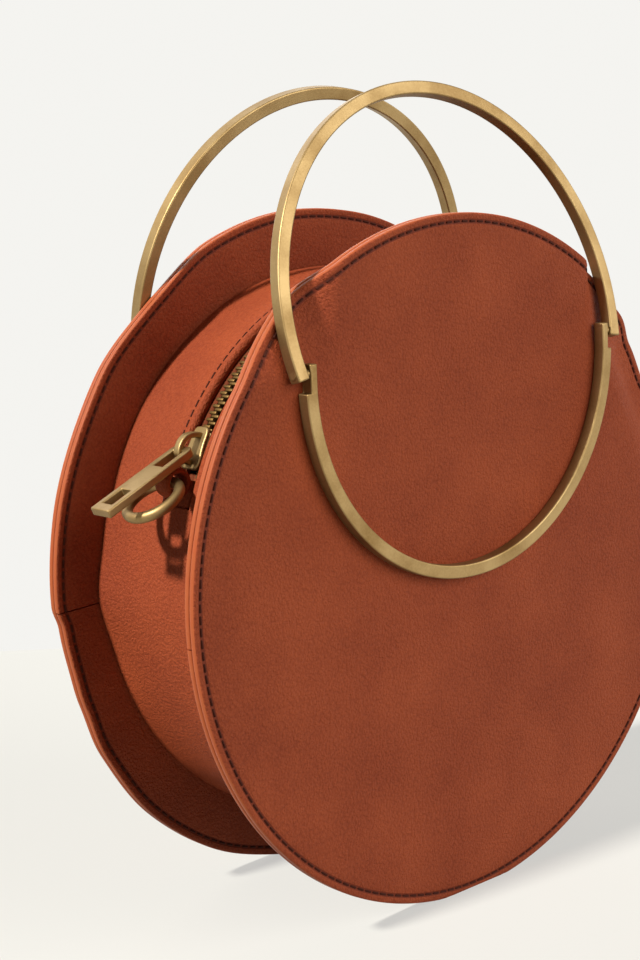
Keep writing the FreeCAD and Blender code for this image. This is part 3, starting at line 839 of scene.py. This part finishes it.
class BAG_OT_zip(bpy.types.Operator):
    """The zip's two tapes and two rows of teeth"""

    bl_idname = "bag.zip"
    bl_label = "Zip"

    def execute(self, context):
        s = sizes()
        r = s.drum_radius - 2.1 * MM
        cloth = 0.6 * MM
        bead = r + 0.35 * MM
        tape_near, tape_far = 2.4 * MM, 12.4 * MM
        tape_end, butt_turn = 72, 6.3
        # Section of a tape's end, where the tapes meet: millimetres from the zip's middle and below its top
        butt_section = ((0.05, 0.55), (2.9, 0.55), (2.9, 0.05), (0.05, 0.05))
        tooth_size = (1.0 * MM, 3.1 * MM, 2.6 * MM)
        tooth_aside, tooth_rise, tooth_rounding = 0.85 * MM, 0.2 * MM, 0.26 * MM
        tape_middle = r - cloth / 2
        step = s.tooth_pitch / tape_middle
        count = int(2 * s.teeth_end / step)
        for name, side in (("front", -1), ("rear", 1)):
            near = s.zip_offset + side * tape_near
            far = s.zip_offset + side * tape_far
            line = [(near, r - cloth), (far, r - cloth), (far, r), (near + side * 1.3 * MM, r),
                    (near + side * 1.0 * MM, bead), (near + side * 0.4 * MM, bead), (near, r)]
            tape = [spun("zip_tape_%s_piece" % name, line, math.radians(-tape_end),
                         math.radians(2 * tape_end), 100)]
            butt = [(s.zip_offset + side * gap * MM, r - low * MM) for gap, low in butt_section]
            for start in (-tape_end, tape_end - butt_turn):
                tape.append(spun("zip_tape_end", butt, math.radians(start), math.radians(butt_turn), 8))
            placed(joined(tape), "shell", "zip_tape", zip_tape_cloth(), "zip_tape_" + name)
            middle = on_drum(0, tape_middle + tooth_rise, s.zip_offset + side * tooth_aside)
            teeth = block("zip_teeth_%s_piece" % name, tooth_size, middle)
            bpy.ops.mesh.bevel(offset=tooth_rounding, segments=2, affect="EDGES")
            bpy.ops.object.mode_set(mode="OBJECT")
            first = -s.teeth_end + (step / 2 if side > 0 else 0)
            repeated_round(teeth, first, step, count, 50)
            placed(teeth, "shell", "antique_brass", zip_brass(), "zip_teeth_" + name)
        return {"FINISHED"}


class BAG_OT_slider(bpy.types.Operator):
    """The zip's slider with its bail"""

    bl_idname = "bag.slider"
    bl_label = "Slider"

    def execute(self, context):
        s = sizes()
        base = s.centre_height + s.drum_radius
        top = base - 0.6 * MM
        # Half of a plate's outline, from its wide end: millimetres along the zip and across it
        half_plan = [(-6.5, 2.4), (-6.2, 3.2), (-5.4, 3.85), (-4.0, 4.1), (-2.2, 3.85), (-0.4, 3.45),
                     (1.8, 3.25), (4.2, 3.25), (5.6, 2.95), (6.3, 2.2), (6.5, 1.2)]
        plan = half_plan + [(x, -y) for x, y in reversed(half_plan)]

        def plate(name, low, thick):
            """A rounded plate of the slider's outline."""
            piece = drawn(name, [Vector((x * MM, s.zip_offset + y * MM, low)) for x, y in plan], closed=True)
            bpy.ops.mesh.edge_face_add()
            extruded((0, 0, thick))
            return eased(ended(piece), 0.45 * MM)

        pieces = [plate("zip_slider_piece", top, 1.3 * MM), plate("slider_back", base - 5.1 * MM, 1.2 * MM)]

        # The bail's line: millimetres along the zip and above the plate
        bail_line = [(-5.5, 0.2), (-5.6, 2.6), (-5.2, 4.8), (-3.9, 6.1), (-1.8, 6.5), (0.6, 6.2),
                     (2.6, 5.0), (4.0, 2.8), (4.7, 0.2)]
        bail_width, bail_wall = 2.6 * MM, 1.7 * MM
        foot = top + 1.0 * MM
        bail_side = s.zip_offset - bail_width / 2
        bail = drawn("slider_bail", [Vector((x * MM, bail_side, foot + z * MM)) for x, z in bail_line])
        extruded((0, bail_width, 0))
        ended(bail)
        finished_with(bail, "SUBSURF", levels=2, render_levels=2, boundary_smooth="PRESERVE_CORNERS")
        finished_with(bail, "SOLIDIFY", thickness=bail_wall, offset=-1.0)
        pieces.append(eased(bail, 0.45 * MM))

        flange_size = (7.8 * MM, 0.6 * MM, 1.2 * MM)
        for side in (-1, 1):
            middle = (1.3 * MM, s.zip_offset + side * 3.0 * MM, top - 0.5 * MM)
            pieces.append(eased(ended(block("slider_flange", flange_size, middle)), 0.15 * MM))
        divider_size = (4.0 * MM, 2.2 * MM, 3.6 * MM)
        middle = (-4.0 * MM, s.zip_offset, base - 2.3 * MM)
        pieces.append(eased(ended(block("slider_divider", divider_size, middle)), 0.5 * MM))
        slider = turned_about(joined(pieces), drum_axis(), "Y", -s.slider_place)
        placed(slider, "slider", "antique_brass", antique_brass(), "zip_slider")
        return {"FINISHED"}


class BAG_OT_pull(bpy.types.Operator):
    """The pull that hangs in the slider's bail, with its slot and window"""

    bl_idname = "bag.pull"
    bl_label = "Pull"

    def execute(self, context):
        long, wide, thick = 33.2 * MM, 8.4 * MM, 2.5 * MM
        past_pivot = 1.2 * MM
        # The slot and the window: millimetres from the pivot, and half their width
        gaps = ((1.3, 9.4), (21.6, 28.8))
        gap_half = 2.3
        pull = started("zip_pull_piece", bpy.ops.mesh.primitive_plane_add, size=1.0)
        bpy.ops.transform.resize(value=(long, wide, 1.0))
        bpy.ops.transform.translate(value=(long / 2 - past_pivot, 0, -thick / 2))
        cuts = [((x * MM, 0, 0), ALONG_X) for gap in gaps for x in gap]
        cuts += [((0, y * MM, 0), ALONG_Y) for y in (-gap_half, gap_half)]
        for point, normal in cuts:
            bpy.ops.mesh.select_all(action="SELECT")
            bpy.ops.mesh.bisect(plane_co=point, plane_no=normal)
        bpy.ops.mesh.select_mode(type="FACE")
        bpy.ops.mesh.select_all(action="DESELECT")
        bpy.ops.object.mode_set(mode="OBJECT")
        for face in pull.data.polygons:
            middle = face.center / MM
            in_gap = any(start < middle.x < end for start, end in gaps)
            face.select = in_gap and abs(middle.y) < gap_half
        bpy.ops.object.mode_set(mode="EDIT")
        bpy.ops.mesh.delete(type="FACE")
        bpy.ops.mesh.select_mode(type="VERT")
        bpy.ops.mesh.select_all(action="DESELECT")
        bpy.ops.object.mode_set(mode="OBJECT")
        for vertex in pull.data.vertices:
            vertex.select = vertex.co.x < 0 and abs(vertex.co.y) > 0.9 * wide / 2
        bpy.ops.object.mode_set(mode="EDIT")
        bpy.ops.mesh.bevel(offset=2.4 * MM, segments=5, affect="VERTICES")
        bpy.ops.mesh.select_all(action="SELECT")
        extruded((0, 0, thick))
        eased(ended(pull), 0.4 * MM)
        lie = Matrix.Rotation(math.radians(-204), 4, "Y")
        pull.data.transform(Matrix.Translation(joint_place("pull_swing")) @ lie)
        placed(pull, "pull", "antique_brass", antique_brass(), "zip_pull")
        return {"FINISHED"}


class BAG_OT_strap_points(bpy.types.Operator):
    """The leather tabs at the zip's ends and the round rings that hang in them"""

    bl_idname = "bag.strap_points"
    bl_label = "Strap points"

    def execute(self, context):
        s = sizes()
        loop = joint_place("left_ring_swing")
        half = 3.2 * MM
        # Section of the leather loop: shares of half its width, and millimetres from the loop's middle
        wall = [(-1.0, 3.3), (-0.8, 2.85), (0.8, 2.85), (1.0, 3.3), (1.0, 3.9), (0.8, 4.4), (-0.8, 4.4),
                (-1.0, 3.9)]
        points = [loop + Vector((0, half * share, radius * MM)) for share, radius in wall]
        tab = drawn("strap_tab_left_piece", points, closed=True)
        swept(loop, FULL_TURN, 48)
        ended(tab, 60)
        low, high = s.drum_radius - 2.0 * MM, s.drum_radius - 0.2 * MM
        line = [(s.zip_offset - half, low), (s.zip_offset + half, low),
                (s.zip_offset + half, high), (s.zip_offset - half, high)]
        tail = eased(spun("tab_tail", line, math.radians(-72.5), math.radians(5.3), 12), 0.4 * MM)
        neck_size = (3.6 * MM, 2 * half, 3.4 * MM)
        neck = block("tab_neck", neck_size, on_drum(0, s.drum_radius - 0.3 * MM, s.zip_offset))
        eased(ended(neck), 0.5 * MM)
        turned_about(neck, drum_axis(), "Y", -s.tab_place)
        tab = joined([tab, tail, neck])

        hang = math.pi + s.strap_hang
        middle = loop + Vector((math.cos(hang), 0, math.sin(hang))) * s.strap_ring
        ring = started("strap_ring_left_piece", bpy.ops.mesh.primitive_torus_add, major_radius=s.strap_ring,
                       minor_radius=s.strap_wire / 2, major_segments=80, minor_segments=24)
        # The butt joint of the bent wire
        bpy.ops.mesh.select_all(action="SELECT")
        bpy.ops.mesh.bisect(plane_co=(0, 0.05 * MM, 0), plane_no=ALONG_Y)
        ended(ring, 60)
        ring.data.transform(Matrix.Translation(middle) @ Matrix.Rotation(-hang, 4, "Y"))
        tabs = (("left", tab), ("right", mirrored(tab, "left", "right", ALONG_X)))
        for side, piece in tabs:
            placed(piece, "shell", "leather", tan_leather(), "strap_tab_" + side)
        rings = (("left", ring), ("right", mirrored(ring, "left", "right", ALONG_X)))
        for side, piece in rings:
            placed(piece, side + "_ring", "antique_brass", antique_brass(), "strap_ring_" + side)
        return {"FINISHED"}


class BAG_OT_ring_handles(bpy.types.Operator):
    """The fixed lower half rings and the hinged upper arches"""

    bl_idname = "bag.ring_handles"
    bl_label = "Ring handles"

    def execute(self, context):
        s = sizes()
        half = s.bar / 2
        front = -s.bag_width / 2
        hinge = joint_place("front_handle_swing")

        def bar(name, centre, radius, start, turn, steps):
            """A square bar bent about a centre, with its ends filled."""
            corners = [(-half, -half), (half, -half), (half, half), (-half, half)]
            out = Vector((math.sin(start), 0, math.cos(start)))
            points = [centre + out * (radius + across) + deep * ALONG_Y for across, deep in corners]
            piece = drawn(name, points, closed=True)
            swept(centre, turn, steps)
            welded()
            capped()
            return ended(piece)

        def select_end(piece, way):
            """Selects the square face at a bar's right end for a way of 1, or at its left end for -1."""
            bpy.ops.object.mode_set(mode="OBJECT")
            for part in (piece.data.polygons, piece.data.edges, piece.data.vertices):
                part.foreach_set("select", [False] * len(part))
            ends = [face for face in piece.data.polygons
                    if len(face.vertices) == 4 and face.center.x * way > 0 and abs(face.normal.y) < 0.1
                    and 0.8 < face.area / s.bar ** 2 < 1.2]
            max(ends, key=lambda face: abs(face.normal.z)).select = True
            bpy.ops.object.mode_set(mode="EDIT")

        # The half ring's ends are levelled and narrowed to a tongue, which leaves the notch for the arm
        middle = Vector((0, front - half, hinge.z - s.half_ring_drop))
        radius = s.half_ring - half
        stop = math.asin((s.notch_drop - s.half_ring_drop) / radius)
        tongue, tongue_rise = 2.4 * MM, 2.6 * MM
        lower = bar("front_fixed_half_ring_piece", middle, radius, math.pi / 2 + stop, math.pi - 2 * stop, 96)
        for way in (1, -1):
            select_end(lower, way)
            inner_side = way * (radius - half) * math.cos(stop)
            inner_edge = Vector((inner_side, front - half, hinge.z - s.notch_drop))
            bpy.ops.transform.resize(value=(1, 1, 0), center_override=inner_edge)
            extruded((0, 0, 0))
            bpy.ops.transform.resize(value=(tongue / s.bar, 1, 1), center_override=inner_edge)
            extruded((0, 0, s.notch_drop + tongue_rise))
        eased(ended(lower), 0.4 * MM)

        centre = Vector((0, hinge.y, hinge.z + s.arch_rise))
        arc = s.arch - half
        reach = math.pi / 2 + math.asin(s.arch_rise / arc)
        tail_in, tail = 0.4 * MM, 2.0 * MM
        upper = bar("front_handle_arch_piece", centre, arc, -reach, 2 * reach, 144)
        for way in (1, -1):
            select_end(upper, way)
            extruded((-way * tail_in, 0, -tail))
        eased(ended(upper), 0.45 * MM)

        rings = (("front_", lower), ("rear_", mirrored(lower, "front", "rear", ALONG_Y)))
        for side, piece in rings:
            placed(piece, "shell", "antique_brass", antique_brass(), side + "fixed_half_ring")
        twin = mirrored(upper, "front", "rear", ALONG_Y)
        turned_about(upper, hinge, "X", -s.front_lean)
        turned_about(twin, joint_place("rear_handle_swing"), "X", s.rear_lean)
        for side, piece in (("front_", upper), ("rear_", twin)):
            placed(piece, side + "handle", "antique_brass", antique_brass(), side + "handle_arch")
        return {"FINISHED"}


class BAG_OT_kept_nodes(bpy.types.Operator):
    """Finishes on the CAD pieces that stay: boards, screws, pins and zip stops"""

    bl_idname = "bag.kept_nodes"
    bl_label = "Boards, pins and stops"

    def execute(self, context):
        kept = {
            "stiffener_board": pressed_board(), "ring_screws": plated_steel(), "hinge_pins": antique_brass(),
            "zip_closing_stops": antique_brass(), "zip_end_clip": antique_brass(),
        }
        for name, node in frame["nodes"].items():
            for part, finish in kept.items():
                if name.endswith(part):
                    node.data.materials.clear()
                    node.data.materials.append(finish)
        return {"FINISHED"}


class BAG_OT_stage(bpy.types.Operator):
    """The pale floor and wall, the lamps and the camera"""

    bl_idname = "bag.stage"
    bl_label = "Stage"

    def execute(self, context):
        stage = context.scene.bag_stage
        floor_width = 4.0
        floor = started("stage_floor", bpy.ops.mesh.primitive_plane_add, size=floor_width)
        bpy.ops.transform.translate(value=(0, stage.floor_end - floor_width / 2, 0))
        ended(floor)
        floor.data.transform(Matrix.Rotation(-stage.camera_yaw, 4, "Z"))
        floor.data.materials.append(stage_paint(stage.floor_glow))

        # Each far lamp: the side that it shines from, its strength, and the spread in degrees that softens it
        lamps = {
            "key_lamp": ((-0.72, 0.05, 0.69), stage.key_strength, 5),
            "fill_lamp": ((0.36, -0.86, 0.36), stage.fill_strength, 50),
            "back_lamp": ((0.30, 0.87, 0.40), stage.back_strength, 60),
        }
        for name, (side, strength, spread) in lamps.items():
            data = bpy.data.lights.new(name, "SUN")
            data.energy = strength
            data.angle = math.radians(spread)
            lamp = bpy.data.objects.new(name, data)
            context.collection.objects.link(lamp)
            lamp.location = side
            lamp.rotation_euler = (-Vector(side)).to_track_quat("-Z", "Y").to_euler()

        world = bpy.data.worlds.new("stage_world")
        context.scene.world = world
        world.use_nodes = True
        tree = world.node_tree
        shown = add(tree, "ShaderNodeMapRange", {"To Min": stage.ambient, "To Max": stage.backdrop},
                    {"Value": seen_rays(tree)})
        wired(tree, tree.nodes["Background"], {"Color": rgba(colours().background)},
              {"Strength": shown.outputs[0]})

        data = bpy.data.cameras.new("camera")
        data.sensor_fit = "HORIZONTAL"
        data.sensor_width = 36.0
        data.lens = stage.focal_pixels / FRAME_WIDTH * data.sensor_width
        data.clip_start = 0.01
        camera = bpy.data.objects.new("camera", data)
        context.collection.objects.link(camera)
        yaw, pitch, roll = stage.camera_yaw, stage.camera_pitch, stage.camera_roll
        ahead = Vector((math.sin(yaw) * math.cos(pitch), math.cos(yaw) * math.cos(pitch), math.sin(pitch)))
        right = Vector((math.cos(yaw), -math.sin(yaw), 0))
        up = right.cross(ahead)
        across = right * math.cos(roll) + up * math.sin(roll)
        above = up * math.cos(roll) - right * math.sin(roll)
        turn = Matrix((across, above, -ahead)).transposed().to_4x4()
        camera.matrix_world = Matrix.Translation(stage.camera_place) @ turn
        context.scene.camera = camera
        context.scene.view_settings.view_transform = "Standard"
        return {"FINISHED"}


class BAG_PT_sidebar(bpy.types.Panel):
    """Lists the bag's pieces and sizes"""

    bl_idname = "BAG_PT_sidebar"
    bl_label = "Round Leather Bag"
    bl_space_type = "VIEW_3D"
    bl_region_type = "UI"
    bl_category = "Bag"

    def draw(self, context):
        for operator in OPERATORS:
            self.layout.operator(operator.bl_idname)
        for group in (context.scene.bag_sizes, context.scene.bag_colours, context.scene.bag_stage):
            column = self.layout.column(align=True)
            for name in group.__annotations__:
                column.prop(group, name)


GROUPS = {"bag_sizes": BagSizes, "bag_colours": BagColours, "bag_stage": StageSettings}
OPERATORS = (
    BAG_OT_panels, BAG_OT_drum, BAG_OT_zip, BAG_OT_slider, BAG_OT_pull, BAG_OT_strap_points,
    BAG_OT_ring_handles, BAG_OT_kept_nodes, BAG_OT_stage,
)


def register():
    """Adds the operators, the sidebar and the bag's settings."""
    for kind in (*GROUPS.values(), *OPERATORS, BAG_PT_sidebar):
        bpy.utils.register_class(kind)
    for name, kind in GROUPS.items():
        setattr(bpy.types.Scene, name, bpy.props.PointerProperty(type=kind))


def unregister():
    """Takes them away again."""
    for name in GROUPS:
        delattr(bpy.types.Scene, name)
    for kind in reversed((*GROUPS.values(), *OPERATORS, BAG_PT_sidebar)):
        bpy.utils.unregister_class(kind)


def main():
    """Builds the bag and its stage."""
    register()
    bpy.ops.bag.panels()
    bpy.ops.bag.drum()
    bpy.ops.bag.zip()
    bpy.ops.bag.slider()
    bpy.ops.bag.pull()
    bpy.ops.bag.strap_points()
    bpy.ops.bag.ring_handles()
    bpy.ops.bag.kept_nodes()
    bpy.ops.bag.stage()


if __name__ == "__main__":
    main()
